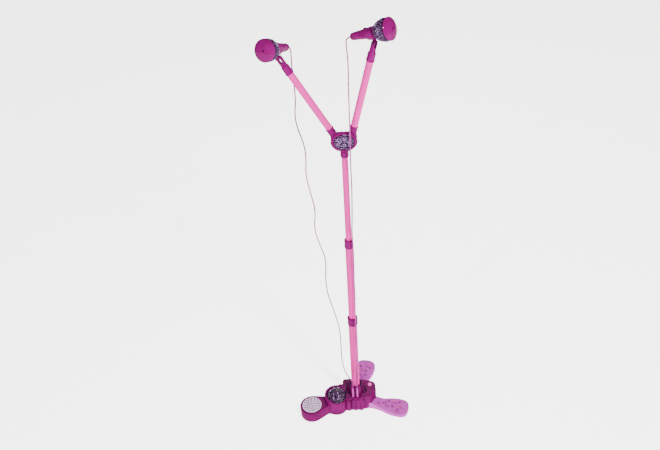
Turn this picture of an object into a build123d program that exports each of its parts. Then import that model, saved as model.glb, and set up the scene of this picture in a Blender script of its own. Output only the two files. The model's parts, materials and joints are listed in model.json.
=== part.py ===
from build123d import *
import math
import os

# A toy karaoke stand: two wired microphones on a telescopic mast with a speaker base.
# Millimetres. +Z is up, the front faces -Y, and the origin is on the floor under the mast's axis.

# ---- general ----
WALL = 2.5  # moulded housings
TUBE_WALL = 1.4  # mast and arm tubes
RUN_FIT = 0.05  # radial clearance of a running fit
GAP = 0.3  # space between faces that only pass each other

# ---- base ----
BODY_TOP = 56.0  # flat top of the central housing
FOOT_TOP = 36.0  # flat top of the speaker foot
LOBE_TOP = 50.0  # flat top of the light lobe
PLATE_THICK = 2.5
SPEAKER_AT = (-138.0, -39.0)
SPEAKER_R = 36.5
GRILLE_R = 29.8
DOME_AT = (-61.0, -19.5)
DOME_LOBE_R = 33.0
DOME_R = 29.5
DOME_HIGH = 25.0
DOME_COLLAR_TOP = 54.0
CRESCENT_R = 36.5
CRESCENT_TOP = 60.0
CRESCENT_BEARING = 152.0
TURRET_FOOT_R = 26.0
TURRET_TOP_R = 19.0
TURRET_TOP = 84.0
BOSS_R = 15.5
BOSS_BOTTOM = 24.0
BUTTON_AT = (44.0, 16.0)
BUTTON_R = 6.5
BUTTON_TOP = BODY_TOP + 3.0
PLUG_Y = -30.0
PLUG_X = {"left": -9.0, "right": 4.0}
PLUG_R = 3.25
PLUG_LONG = 35.0
PLUG_PIN_R = 1.75
# Screw posts of the base, as (x, y, height).
POSTS = [
    (-163, -56.5, 34), (-143.3, -9, 34), (-100, -27, 34), (-60, 7, 48),
    (-34, 30, 54), (50, 6, 54), (25, -27.5, 54),
]
POST_R = 4.0
POST_SCREW_R = 1.4
DOOR_HALF = (29.0, 22.5)
BATTERY_R = 7.2
BATTERY_LONG = 50.0
BATTERY_PITCH = 15.0

# Central housing, seen from above: its corner lobes and the flutes along its front, as (x, y, radius).
BODY_CORNERS = [(-22, 25, 19), (20, 22, 17), (44, 14, 18), (34, -10, 20), (12, -21, 15), (-26, -18, 17)]
FRONT_FLUTES = [(-24, -25, 13.5), (-2.5, -30, 8), (14, -26, 12)]
SIDE_FLUTES = [(53, -2, 10), (-31, 34, 10), (-2, 36, 12), (-46, 10, 14)]

# ---- paddle feet ----
PADDLE_TOP = 14.0
PADDLE_BEARING = {"right_foot": -16.7, "rear_foot": 75.0}
PADDLE_SIDE = [(38, 19), (60, 17.5), (85, 21), (110, 28.5), (135, 31)]
PADDLE_TIP = 167.0
PADDLE_WALL = 3.0
# How high the paddle's neck stands where it climbs to the housing, as (distance from the mast, height).
PADDLE_NECK = [(36, 27), (58, 22), (86, 13)]
TONGUE_FROM = 34.0
TONGUE_WIDE = 24.0
TONGUE_LOW = 3.0
TONGUE_HIGH = 12.0

# ---- mast ----
LOWER_R = 12.5
MIDDLE_R = 10.25
UPPER_R = 8.0
LOWER_TUBE = (BOSS_BOTTOM, 352.0)
MIDDLE_TUBE = (298.0, 628.0)
UPPER_TUBE = (574.0, 903.0)
LOWER_COLLAR = (335.0, 361.0)
UPPER_COLLAR = (611.0, 636.0)
LOWER_COLLAR_R = 14.7
UPPER_COLLAR_R = 12.3
BUSH_LONG = 18.0

# ---- hub ----
HUB_Z = 930.0
HUB_HALF_WIDE = 32.0
HUB_HALF_HIGH = 26.0
HUB_HALF_DEEP = 15.0
HUB_PLATE_HALF = (25.0, 20.0)
HUB_PLATE_THICK = 2.0
HUB_BACK_SLOPE = 27.0  # how steeply the hub's top falls towards the back, in degrees
HUB_SOCKET = (884.0, 908.0)
HUB_SOCKET_R = 9.6
HUB_SCREW_AT = (15.0, 913.0)
PIVOT_X = 18.7
PIVOT_Z = 936.0
PIVOT_PIN_R = 3.0
KNUCKLE_R = 10.5
ARM_SPACE = 9.8  # half the space between the front and rear shells

# ---- arms, measured along each arm from its pivot ----
ARM_R = 8.5
ARM_SOCKET_R = 9.4
ARM_SOCKET_END = 29.0
ARM_TUBE_START = 15.0
ARM_TUBE_END = 204.0
CLIP_START = 190.0
CLIP_SOCKET_END = 209.0
CLIP_PIN_AT = 232.5
CLIP_PIN_R = 1.6
EAR_HALF = 6.5
EAR_R = 4.5
SLOT_HALF = 3.0
CRADLE_HALF = (-12.0, 8.0)
CRADLE_WALL = 2.2
LEAN = {"left": -29.8, "right": 14.4}
SWIVEL = {"left": -12.0, "right": 48.0}
RISE = {"left": 24.5, "right": 29.6}
SIDE_SIGN = {"left": -1, "right": 1}

# ---- microphones, measured along each axis from the grip ----
MIC_ABOVE_PIN = 21.5
MIC_AHEAD = 10.0
HANDLE_TAIL = -70.0
HANDLE_ROOT = 3.0
HANDLE_TAIL_R = 8.0
HANDLE_ROOT_R = 14.4
BAND_END = 32.0
BAND_R = 25.0
RING_END = 35.0
RING_R = 24.2
HEAD_WIDE_AT = 36.5
HEAD_R = 25.3
HEAD_POLE = 45.0
HEAD_CROWN_R = 42.0
HEAD_HOLE_R = 2.15
SWITCH_AT = -30.0
RELIEF_END = -74.0

# ---- cords ----
CORD_R = 1.3
# Each route runs from the microphone's tail to the top of its plug.
CORD_ROUTES = {
    "left": [
        (-118.7, 65.7, 1138.6), (-113.5, 78.2, 1134.9), (-112.4, 77.4, 1115.0), (-112.9, 67.5, 1088.0),
        (-110.0, 50.0, 1056.0), (-108.5, 36.0, 1020.0), (-113.5, 22.0, 982.0), (-106.0, 11.0, 951.0),
        (-95.5, 4.0, 920.0), (-92.8, -0.5, 885.0), (-98.0, -4.5, 842.0), (-89.0, -9.0, 790.0),
        (-79.6, -10.5, 738.0), (-88.0, -10.0, 682.0), (-76.0, -9.5, 630.0), (-62.0, -10.0, 578.0),
        (-68.0, -9.5, 524.0), (-66.5, -10.5, 470.0), (-57.0, -12.0, 425.0), (-46.0, -13.0, 375.0),
        (-38.0, -15.0, 330.0), (-37.0, -19.0, 272.0), (-37.5, -24.0, 218.0), (-33.0, -27.0, 178.0),
        (-21.0, -29.5, 147.0), (-9.0, -30.0, 121.0), (-9.0, -30.0, 96.0),
    ],
    "right": [
        (25.54, 44.4, 1160.9), (14.9, 52.6, 1156.0), (15.6, 49.7, 1136.0), (17.6, 37.0, 1110.0),
        (17.2, 17.0, 1080.0), (15.6, -4.0, 1043.0), (15.2, -20.0, 1000.0), (14.6, -25.5, 950.0),
        (13.8, -24.0, 905.0), (13.2, -18.5, 860.0), (13.8, -15.5, 810.0), (12.8, -13.0, 760.0),
        (11.4, -12.5, 710.0), (9.2, -13.2, 665.0), (10.8, -17.0, 622.0), (10.8, -17.5, 575.0),
        (9.6, -15.5, 520.0), (10.2, -15.8, 465.0), (8.8, -18.5, 412.0), (8.4, -22.5, 362.0),
        (8.0, -23.5, 318.0), (7.0, -23.0, 265.0), (6.6, -26.5, 212.0), (5.8, -29.4, 160.0),
        (4.0, -30.0, 122.0), (4.0, -30.0, 96.0),
    ],
}


def drum(radius, low, high, at=(0, 0)):
    """A round pillar between two heights."""
    return extrude(Pos(at[0], at[1], low) * Circle(radius), high - low)


def sleeve(outer, inner, low, high, at=(0, 0)):
    return drum(outer, low, high, at) - drum(inner, low - 1, high + 1, at)


def block(low, high):
    """A box between two corners."""
    size = [b - a for a, b in zip(low, high)]
    middle = [(a + b) / 2 for a, b in zip(low, high)]
    return Pos(*middle) * Box(*size)


def turned(*profile):
    """A solid of revolution about Z from (radius, height) corners."""
    return revolve(make_face(Plane.XZ * Polyline(*profile, close=True)), Axis.Z)


def hull(circles, inset=0.0):
    """The tight outline round some circles, each smaller by inset."""
    edges = [e for x, y, r in circles for e in (Pos(x, y) * Circle(r - inset)).edges()]
    return make_hull(edges)


def handle_radius(along):
    share = (along - HANDLE_TAIL) / (HANDLE_ROOT - HANDLE_TAIL)
    return HANDLE_TAIL_R + share * (HANDLE_ROOT_R - HANDLE_TAIL_R)


# ---- base ----


def base_body(inset):
    """The base's closed outer form, or its cavity when inset is the wall."""
    body = extrude(hull(BODY_CORNERS, inset), BODY_TOP - inset)
    for x, y, r in FRONT_FLUTES + SIDE_FLUTES:
        body += drum(r - inset, 0, BODY_TOP - inset, (x, y))
    body += drum(DOME_LOBE_R - inset, 0, LOBE_TOP - inset, DOME_AT)
    foot = [(*SPEAKER_AT, SPEAKER_R), (-96, -27, 21)]
    body += extrude(hull(foot, inset), FOOT_TOP - inset)
    body += extrude(hull([(-96, -27, 21), (*DOME_AT, 24)], inset), FOOT_TOP - inset)
    return body - drum(DOME_R + GAP + inset, LOBE_TOP - inset, BODY_TOP + 1, DOME_AT)


def turret(extra=0.0):
    """The cone that carries the mast out of the housing."""
    return turned(
        (0, BODY_TOP - 2), (TURRET_FOOT_R + extra, BODY_TOP - 2), (TURRET_FOOT_R + extra, BODY_TOP),
        (TURRET_TOP_R + extra, TURRET_TOP + extra), (0, TURRET_TOP + extra),
    )


def dome_collar():
    """The raised rim round the light, and the higher crescent behind it on the left."""
    rim = sleeve(DOME_LOBE_R, DOME_R + GAP, LOBE_TOP - 1, DOME_COLLAR_TOP, DOME_AT)
    crescent = sleeve(CRESCENT_R, DOME_R + 1.5, PLATE_THICK + GAP, CRESCENT_TOP, DOME_AT)
    facing = Pos(*DOME_AT, 0) * Rot(0, 0, CRESCENT_BEARING)
    keep = facing * block((0, -40, 0), (60, 40, CRESCENT_TOP + 1))
    slope = facing * Pos(0, 0, LOBE_TOP + 8) * Rot(0, -40, 0) * block((-60, -60, 0), (60, 60, 60))
    return rim + (crescent & keep) - slope


def foot_frame(name):
    return Rot(0, 0, PADDLE_BEARING[name])


def tongue(name, clearance=0.0):
    low = (TONGUE_FROM - clearance, -TONGUE_WIDE / 2 - clearance, TONGUE_LOW - clearance)
    high = (70, TONGUE_WIDE / 2 + clearance, TONGUE_HIGH + clearance)
    return foot_frame(name) * block(low, high)


def base_top_shell():
    cavity = base_body(WALL)
    shell = base_body(0) - cavity
    shell += dome_collar() + turret() + drum(BOSS_R, BOSS_BOTTOM, BODY_TOP)
    for x, y, top in POSTS:
        shell += drum(POST_R, PLATE_THICK, top, (x, y))
    shell -= base_screws(0.0)
    shell -= drum(LOWER_R, 0, TURRET_TOP + 1)
    shell -= drum(GRILLE_R - 3, FOOT_TOP - 5, FOOT_TOP + 1, SPEAKER_AT)
    shell -= drum(DOME_R - 3, LOBE_TOP - 5, LOBE_TOP + 1, DOME_AT)
    shell -= drum(BUTTON_R + 0.4, BODY_TOP - 5, BODY_TOP + 1, BUTTON_AT)
    for x in PLUG_X.values():
        shell -= drum(PLUG_PIN_R + 0.5, BODY_TOP - 5, BODY_TOP + 1, (x, PLUG_Y))
    for name in PADDLE_BEARING:
        shell -= tongue(name, 0.2)
    return shell


def base_plan(inset):
    """The base's outline seen from above."""
    plan = hull(BODY_CORNERS, inset) + hull([(*SPEAKER_AT, SPEAKER_R), (-96, -27, 21)], inset)
    plan += hull([(-96, -27, 21), (*DOME_AT, 24)], inset)
    for x, y, r in FRONT_FLUTES + SIDE_FLUTES + [(*DOME_AT, DOME_LOBE_R)]:
        plan += Pos(x, y) * Circle(r - inset)
    return plan


def base_bottom_plate():
    plate = extrude(base_plan(WALL + 0.2), PLATE_THICK) - base_screws(0.2)
    return plate - block((-DOOR_HALF[0], -DOOR_HALF[1], -1), (*DOOR_HALF, PLATE_THICK + 1))


def battery_door():
    inner = [h - GAP for h in DOOR_HALF]
    return block((-inner[0], -inner[1], GAP), (*inner, PLATE_THICK))


def batteries():
    cells = []
    for row in (-1, 0, 1):
        middle = PLATE_THICK + 0.5 + BATTERY_R
        cell = Cylinder(BATTERY_R, BATTERY_LONG) + Pos(0, 0, BATTERY_LONG / 2 + 0.6) * Cylinder(2.6, 1.2)
        cells.append(Pos(0, row * BATTERY_PITCH, middle) * Rot(0, 90 * (-1) ** row, 0) * cell)
    return Compound(cells)


def main_board():
    return block((-39, -12, 27), (-18, 6, 28.6))


def speaker_driver():
    rim = GRILLE_R - 3.5
    driver = turned((0, 10), (12, 10), (12, 20), (24, 28), (rim, 30), (rim, 32), (0, 24))
    return Pos(*SPEAKER_AT, 0) * driver


def speaker_grille():
    low = FOOT_TOP
    disc = turned((0, low), (GRILLE_R, low), (GRILLE_R, low + 1.6), (GRILLE_R - 3, low + 3), (12, low + 4),
                  (0, low + 4.2))
    holes = [drum(1.3, FOOT_TOP - 1, FOOT_TOP + 6)]
    for ring, count in enumerate((6, 12, 18), start=1):
        for k in range(count):
            angle = 2 * math.pi * k / count
            at = (6.2 * ring * math.cos(angle), 6.2 * ring * math.sin(angle))
            holes.append(drum(1.3, FOOT_TOP - 1, FOOT_TOP + 6, at))
    return Pos(*SPEAKER_AT, 0) * (disc - holes)


def light_dome():
    def cap(radius, high):
        ball = (radius**2 + high**2) / (2 * high)
        return Pos(0, 0, high - ball) * Sphere(ball) & drum(radius + 1, 0, high + 1)

    shell = cap(DOME_R, DOME_HIGH) - cap(DOME_R - 1.8, DOME_HIGH - 1.8)
    return Pos(*DOME_AT, LOBE_TOP) * shell


def light_board():
    return drum(DOME_R - 11, LOBE_TOP - 6, LOBE_TOP - 4.4, DOME_AT)


def leds():
    lamps = []
    for k in range(5):
        angle = 2 * math.pi * k / 5
        at = (DOME_AT[0] + 12 * math.cos(angle), DOME_AT[1] + 12 * math.sin(angle))
        lamps.append(drum(2.5, LOBE_TOP - 4.4, LOBE_TOP + 1.6, at) + Pos(*at, LOBE_TOP + 1.6) * Sphere(2.5))
    return Compound(lamps)


def power_button():
    cap = turned((0, BODY_TOP - 6), (3, BODY_TOP - 6), (3, BODY_TOP - 4.5), (BUTTON_R, BODY_TOP - 4.5),
                 (BUTTON_R, BUTTON_TOP - 1), (BUTTON_R - 1.5, BUTTON_TOP), (0, BUTTON_TOP))
    return Pos(*BUTTON_AT, 0) * cap


def jack(side):
    x = PLUG_X[side]
    body = block((x - 5, PLUG_Y - 2.6, 33), (x + 5, PLUG_Y + 9, BODY_TOP - WALL))
    return body - drum(PLUG_PIN_R + RUN_FIT, 35, BODY_TOP, (x, PLUG_Y))


def plug(side):
    low = BODY_TOP + GAP
    shape = turned((0, low - 17), (1.0, low - 18), (PLUG_PIN_R, low - 16), (PLUG_PIN_R, low), (PLUG_R, low),
                   (PLUG_R, low + 22), (PLUG_R - 0.6, low + PLUG_LONG - 2), (PLUG_R - 1.2, 96), (0, 96))
    return Pos(PLUG_X[side], PLUG_Y, 0) * shape


def paddle_outline(inset):
    side = [(x, y - inset) for x, y in PADDLE_SIDE]
    tip = (PADDLE_TIP - inset, 0)
    edge = Spline(*side, tip, tangents=[(1, -0.1), (0, -1)])
    return make_face(edge + mirror(edge, Plane.XZ) + Line(side[0], (side[0][0], -side[0][1])))


def paddle_foot(name):
    """A paddle with a round end and a rising neck, hollow below, and a tongue that goes into the housing."""
    paddle = chamfer(extrude(paddle_outline(0), PADDLE_TOP).edges().group_by(Axis.Z)[-1], 2.0)
    profile = [(PADDLE_NECK[0][0], 0), *PADDLE_NECK, (PADDLE_NECK[-1][0], 0)]
    neck = extrude(make_face(Plane.XZ * Polyline(*profile, close=True)), 30, both=True)
    paddle += neck & extrude(paddle_outline(0), BODY_TOP)
    hollow = extrude(paddle_outline(PADDLE_WALL), PADDLE_TOP - PADDLE_WALL)
    return foot_frame(name) * (paddle - hollow) - base_body(-0.1) + tongue(name)


def base_screws(clearance):
    """The housing screws, driven up through the bottom plate, or the holes that clear them."""
    head, shank = 3.2 + clearance, POST_SCREW_R + clearance
    low = 0.4 if clearance == 0 else -1
    shape = turned((0, low), (head, low), (head, 1.7), (shank, 1.7), (shank, 10), (0, 10))
    return Compound([Pos(x, y, 0) * shape for x, y, top in POSTS])


def wing_trim(side):
    """A raised teardrop line that lies on the turret beside the mast."""
    sign = SIDE_SIGN[side]
    outer = hull([(sign * 24, -7, 9), (sign * 17, 22, 4)])
    inner = hull([(sign * 24, -7, 6.6), (sign * 17, 22, 1.6)])
    band = extrude(outer - inner, 100)
    skin = turned((0, BODY_TOP), (60, BODY_TOP), (60, BODY_TOP + 1.4), (TURRET_FOOT_R + 1.4, BODY_TOP + 1.4),
                  (TURRET_TOP_R + 1.4, TURRET_TOP + 1.4), (0, TURRET_TOP + 1.4))
    return (band & skin) - turret() - drum(LOWER_R, 0, 100)


# ---- mast ----


def mast_tube(radius, span):
    return sleeve(radius, radius - TUBE_WALL, *span)


def collar(outer, below_r, above_r, span, lip):
    """A twist ring that clamps the upper of two tubes at the top of the lower one."""
    low, high = span
    ring = turned(
        (below_r + RUN_FIT, low), (outer - 0.8, low), (outer, low + 1), (outer, high - 1),
        (outer - 0.8, high), (above_r + RUN_FIT, high), (above_r + RUN_FIT, lip), (below_r + RUN_FIT, lip),
    )
    groove = block((outer - 0.5, -0.5, low + 4), (outer + 1, 0.5, high - 4))
    grooves = [Rot(0, 0, k * 20) * groove for k in range(18)]
    return ring - grooves


def bush(outer_bore, radius, low):
    return sleeve(outer_bore - RUN_FIT, radius, low, low + BUSH_LONG)


# ---- hub ----


def oval(half_wide, half_high):
    """An oval standing in the XZ plane, centred on the hub."""
    return Plane.XZ * (Pos(0, HUB_Z) * Ellipse(half_wide, half_high))


def hub_rim():
    """The part of the hub's edge wall that the swinging arms leave free: a bottom arc and a top wedge."""
    ring = oval(HUB_HALF_WIDE, HUB_HALF_HIGH) - oval(HUB_HALF_WIDE - WALL, HUB_HALF_HIGH - WALL)
    wall = extrude(ring, ARM_SPACE, both=True)
    bottom = block((-40, -20, HUB_Z - 40), (40, 20, HUB_Z - 14))
    top = block((-8, -20, HUB_Z + 14), (8, 20, HUB_Z + 40))
    return (wall & bottom) + (wall & top)


def hub_screws():
    """Two screws that draw the shells together from behind."""
    shape = turned((0, 0), (2.8, 0), (2.8, 1.8), (1.3, 1.8), (1.3, 18), (0, 18))
    x, z = HUB_SCREW_AT
    return Compound([Pos(s * x, HUB_HALF_DEEP, z) * Rot(90, 0, 0) * shape for s in (-1, 1)])


def hub_half(front):
    sign = -1 if front else 1
    inner, outer = sign * ARM_SPACE, sign * HUB_HALF_DEEP
    cheek = extrude(oval(HUB_HALF_WIDE, HUB_HALF_HIGH), 20, both=True)
    cheek &= block((-40, min(inner, outer), HUB_Z - 40), (40, max(inner, outer), HUB_Z + 40))
    cheek = chamfer(cheek.faces().sort_by(Axis.Y)[0 if front else -1].edges(), 1.5)
    x, z = HUB_SCREW_AT
    posts = [Pos(s * x, 0, z) * Rot(90, 0, 0) * Cylinder(3.5, 2 * ARM_SPACE) for s in (-1, 1)]
    rim = (hub_rim() + posts) & block((-40, min(0, inner), HUB_Z - 40), (40, max(0, inner), HUB_Z + 40))
    half = cheek + rim - drum(HUB_SOCKET_R, 0, HUB_SOCKET[1]) - hub_screws()
    slope = Rot(-HUB_BACK_SLOPE, 0, 0) * block((-40, 0, 0), (40, 60, 30))
    half -= Pos(0, -ARM_SPACE, HUB_Z + HUB_HALF_HIGH) * slope
    for x in (-PIVOT_X, PIVOT_X):
        half -= Pos(x, 0, PIVOT_Z) * Rot(90, 0, 0) * Cylinder(PIVOT_PIN_R, 2 * (ARM_SPACE + 3))
    return half


def hub_plate():
    front = -HUB_HALF_DEEP - HUB_PLATE_THICK
    plate = extrude(oval(*HUB_PLATE_HALF), -front, both=True)
    return plate & block((-40, front, HUB_Z - 40), (40, -HUB_HALF_DEEP, HUB_Z + 40))


def hub_socket():
    return drum(HUB_SOCKET_R, *HUB_SOCKET) - drum(UPPER_R, HUB_SOCKET[0] - 1, UPPER_TUBE[1])


def arm_pivots():
    pin = Rot(90, 0, 0) * Cylinder(PIVOT_PIN_R, 2 * (ARM_SPACE + 2.8))
    return Compound([Pos(x, 0, PIVOT_Z) * pin for x in (-PIVOT_X, PIVOT_X)])


# ---- arms, each built upright over its pivot ----


def arm_frame(side):
    return Pos(SIDE_SIGN[side] * PIVOT_X, 0, PIVOT_Z) * Rot(0, LEAN[side], 0)


def clip_frame(side):
    return arm_frame(side) * Rot(0, 0, SWIVEL[side])


def mic_frame(side):
    """At the hinge pin, with Z along the microphone and Y away from the pin."""
    return clip_frame(side) * Pos(0, 0, CLIP_PIN_AT) * Rot(90 - RISE[side], 0, 0)


def arm_socket():
    knuckle = Rot(90, 0, 0) * Cylinder(KNUCKLE_R, 2 * (ARM_SPACE - 0.2))
    neck = drum(ARM_SOCKET_R, 0, ARM_SOCKET_END)
    neck &= block((-20, -ARM_SPACE + 0.2, 0), (20, ARM_SPACE - 0.2, 60))
    rim = drum(ARM_SOCKET_R + 0.6, ARM_SOCKET_END - 3, ARM_SOCKET_END)
    pin_hole = Rot(90, 0, 0) * Cylinder(PIVOT_PIN_R + RUN_FIT, 40)
    return knuckle + neck + rim - pin_hole - drum(ARM_R, ARM_TUBE_START, 60)


def arm_tube():
    return sleeve(ARM_R, ARM_R - TUBE_WALL, ARM_TUBE_START, ARM_TUBE_END)


def clip_socket():
    """The ferrule that turns on the arm tube, with the forked neck above it."""
    ferrule = turned((0, CLIP_START), (ARM_SOCKET_R + 0.6, CLIP_START), (ARM_SOCKET_R + 0.6, CLIP_START + 3),
                     (ARM_SOCKET_R, CLIP_START + 4), (ARM_SOCKET_R, CLIP_SOCKET_END),
                     (6, CLIP_SOCKET_END + 5), (0, CLIP_SOCKET_END + 5))
    ferrule -= drum(ARM_R + RUN_FIT, CLIP_START - 1, ARM_TUBE_END + 0.5)
    neck = block((-EAR_HALF, -EAR_R, CLIP_SOCKET_END + 1), (EAR_HALF, EAR_R, CLIP_PIN_AT))
    neck += Pos(0, 0, CLIP_PIN_AT) * Rot(0, 90, 0) * Cylinder(EAR_R, 2 * EAR_HALF)
    slot = block((-SLOT_HALF, -10, CLIP_PIN_AT - 12), (SLOT_HALF, 10, CLIP_PIN_AT + 10))
    hole = Pos(0, 0, CLIP_PIN_AT) * Rot(0, 90, 0) * Cylinder(CLIP_PIN_R, 30)
    return ferrule + neck - slot - hole


def clip_pin():
    pin = Rot(0, 90, 0) * Cylinder(CLIP_PIN_R, 2 * EAR_HALF + 1)
    head = Pos(-EAR_HALF - 0.9, 0, 0) * Rot(0, 90, 0) * Cylinder(3.2, 1.8)
    return Pos(0, 0, CLIP_PIN_AT) * (pin + head)


def mic_cradle():
    """An open spring clip that holds the handle, on a lug that turns on the hinge pin."""
    low, high = CRADLE_HALF
    bore = [(handle_radius(v - MIC_AHEAD) + GAP, v) for v in (low - 1, high + 1)]
    inside = turned((0, low - 1), *bore, (0, high + 1))
    outside = turned((0, low), (bore[0][0] + CRADLE_WALL, low), (bore[1][0] + CRADLE_WALL, high), (0, high))
    clip = outside - inside - block((-30, 4, low - 2), (30, 40, high + 2))
    lug = block((-SLOT_HALF + 0.25, 0, -3.5), (SLOT_HALF - 0.25, 7, 3.5))
    lug += Rot(0, 90, 0) * Cylinder(3.5, 2 * SLOT_HALF - 0.5)
    lug -= Pos(0, MIC_ABOVE_PIN, 0) * inside
    lug -= Rot(0, 90, 0) * Cylinder(CLIP_PIN_R + RUN_FIT, 20)
    return Pos(0, MIC_ABOVE_PIN, 0) * clip + lug


# ---- microphones, each built upright along Z with the grip at the origin and its top towards +Y ----


def mic_handle():
    inner = [(handle_radius(u) - 2, u) for u in (HANDLE_TAIL + 3, HANDLE_ROOT)]
    handle = turned((0, HANDLE_TAIL), (HANDLE_TAIL_R - 1, HANDLE_TAIL), (HANDLE_TAIL_R, HANDLE_TAIL + 1),
                    (HANDLE_ROOT_R, HANDLE_ROOT), (0, HANDLE_ROOT))
    handle -= turned((0, HANDLE_TAIL + 3), *inner, (0, HANDLE_ROOT))
    slot = block((-2.6, 0, SWITCH_AT - 6.5), (2.6, 30, SWITCH_AT + 6.5))
    return handle - slot - drum(2.2, HANDLE_TAIL - 1, HANDLE_TAIL + 4)


def mic_switch():
    surface = handle_radius(SWITCH_AT)
    slider = block((-2.4, surface - 3.5, SWITCH_AT - 3.4), (2.4, surface + 1.2, SWITCH_AT + 3.4))
    ribs = [
        block((-2.4, surface + 1, SWITCH_AT + v - 0.4), (2.4, surface + 1.9, SWITCH_AT + v + 0.4))
        for v in (-2, 0, 2)
    ]
    return slider + ribs


def mic_band():
    return turned((HANDLE_ROOT_R - 2, HANDLE_ROOT), (17.5, HANDLE_ROOT), (21.8, 10), (24.2, 20),
                  (BAND_R, BAND_END), (BAND_R - 4, BAND_END), (19, 16), (HANDLE_ROOT_R - 2, HANDLE_ROOT + 4))


def mic_ring():
    return turned((16, BAND_END), (RING_R, BAND_END), (RING_R, RING_END), (16, RING_END))


def mic_head():
    """A shallow dome with a small hole at its pole and a seat for the capsule inside."""
    def arch(shrink):
        wide = (HEAD_R - shrink, HEAD_WIDE_AT)
        pole = (0, HEAD_POLE - shrink)
        side = Line((HEAD_R - 0.8 - shrink, RING_END), wide)
        crown = RadiusArc(wide, pole, shrink - HEAD_CROWN_R)
        closing = Polyline(pole, (0, RING_END), (HEAD_R - 0.8 - shrink, RING_END))
        return revolve(make_face(Plane.XZ * (side + crown + closing)), Axis.Z)

    head = arch(0) - arch(2)
    head += sleeve(8.2, 7, RING_END, HEAD_POLE - 2.5) & arch(1)
    return head - drum(HEAD_HOLE_R, 0, HEAD_POLE + 1)


def mic_capsule():
    return drum(7, 33, 41)


def mic_relief():
    return turned((0, RELIEF_END), (2.0, RELIEF_END), (2.6, HANDLE_TAIL), (2.2, HANDLE_TAIL),
                  (2.2, HANDLE_TAIL + 3), (0, HANDLE_TAIL + 3))


MIC_PARTS = {
    "handle": mic_handle, "switch": mic_switch, "band": mic_band, "ring": mic_ring,
    "head": mic_head, "capsule": mic_capsule, "relief": mic_relief,
}


# ---- cords ----


def cord(name, route):
    """A round cord of straight runs and tangent arcs, as large as the runs allow."""
    points = [Vector(*p) for p in route]
    runs = [b - a for a, b in zip(points, points[1:])]
    radii = []
    for before, after in zip(runs, runs[1:]):
        turn = before.get_angle(after)
        radii.append(0.45 * min(before.length, after.length) / math.tan(math.radians(turn) / 2))
    path = FilletPolyline(*points, radius=radii)
    section = Plane(origin=points[0], z_dir=runs[0]) * Circle(CORD_R)
    tube = sweep(section, path)
    exact = math.pi * CORD_R**2 * path.length
    print(name, "length", round(path.length, 1), "volume ratio", round(tube.volume / exact, 4))
    print("  radii", [round(r, 1) for r in radii], "runs", [round(r.length, 1) for r in runs])
    return tube


def all_parts():
    parts = {
        "base_top_shell": base_top_shell(),
        "base_bottom_plate": base_bottom_plate(),
        "battery_door": battery_door(),
        "batteries": batteries(),
        "main_board": main_board(),
        "speaker_driver": speaker_driver(),
        "speaker_grille": speaker_grille(),
        "light_dome": light_dome(),
        "light_board": light_board(),
        "leds": leds(),
        "power_button": power_button(),
        "base_screws": base_screws(0.0),
        "lower_tube": mast_tube(LOWER_R, LOWER_TUBE),
        "middle_tube": mast_tube(MIDDLE_R, MIDDLE_TUBE),
        "upper_tube": mast_tube(UPPER_R, UPPER_TUBE),
        "lower_collar": collar(LOWER_COLLAR_R, LOWER_R, MIDDLE_R, LOWER_COLLAR, LOWER_TUBE[1] + GAP),
        "upper_collar": collar(UPPER_COLLAR_R, MIDDLE_R, UPPER_R, UPPER_COLLAR, MIDDLE_TUBE[1] + GAP),
        "middle_bush": bush(LOWER_R - TUBE_WALL, MIDDLE_R, MIDDLE_TUBE[0]),
        "upper_bush": bush(MIDDLE_R - TUBE_WALL, UPPER_R, UPPER_TUBE[0]),
        "hub_front": hub_half(front=True),
        "hub_rear": hub_half(front=False),
        "hub_plate": hub_plate(),
        "hub_socket": hub_socket(),
        "hub_screws": hub_screws(),
        "arm_pivots": arm_pivots(),
    }
    for name in PADDLE_BEARING:
        parts[name] = paddle_foot(name)
    for side in ("left", "right"):
        parts[f"{side}_jack"] = jack(side)
        parts[f"{side}_plug"] = plug(side)
        parts[f"{side}_wing_trim"] = wing_trim(side)
        parts[f"{side}_arm_socket"] = arm_frame(side) * arm_socket()
        parts[f"{side}_arm_tube"] = arm_frame(side) * arm_tube()
        parts[f"{side}_clip_socket"] = clip_frame(side) * clip_socket()
        parts[f"{side}_clip_pin"] = clip_frame(side) * clip_pin()
        parts[f"{side}_mic_cradle"] = mic_frame(side) * mic_cradle()
        for piece, make in MIC_PARTS.items():
            parts[f"{side}_mic_{piece}"] = mic_frame(side) * Pos(0, MIC_ABOVE_PIN, MIC_AHEAD) * make()
        parts[f"{side}_cord"] = cord(f"{side}_cord", CORD_ROUTES[side])
    return parts


os.makedirs("parts", exist_ok=True)
for node, shape in all_parts().items():
    export_step(shape, f"parts/{node}.step")
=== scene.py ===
"""A toy karaoke stand: two wired microphones on a telescopic mast with a speaker base.

Shapes are built in millimetres in the part's own frame and turned into metres by solid().
"""

import json
import math
import random

import bmesh
import bpy
from mathutils import Matrix, Vector
from mathutils.bvhtree import BVHTree

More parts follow.
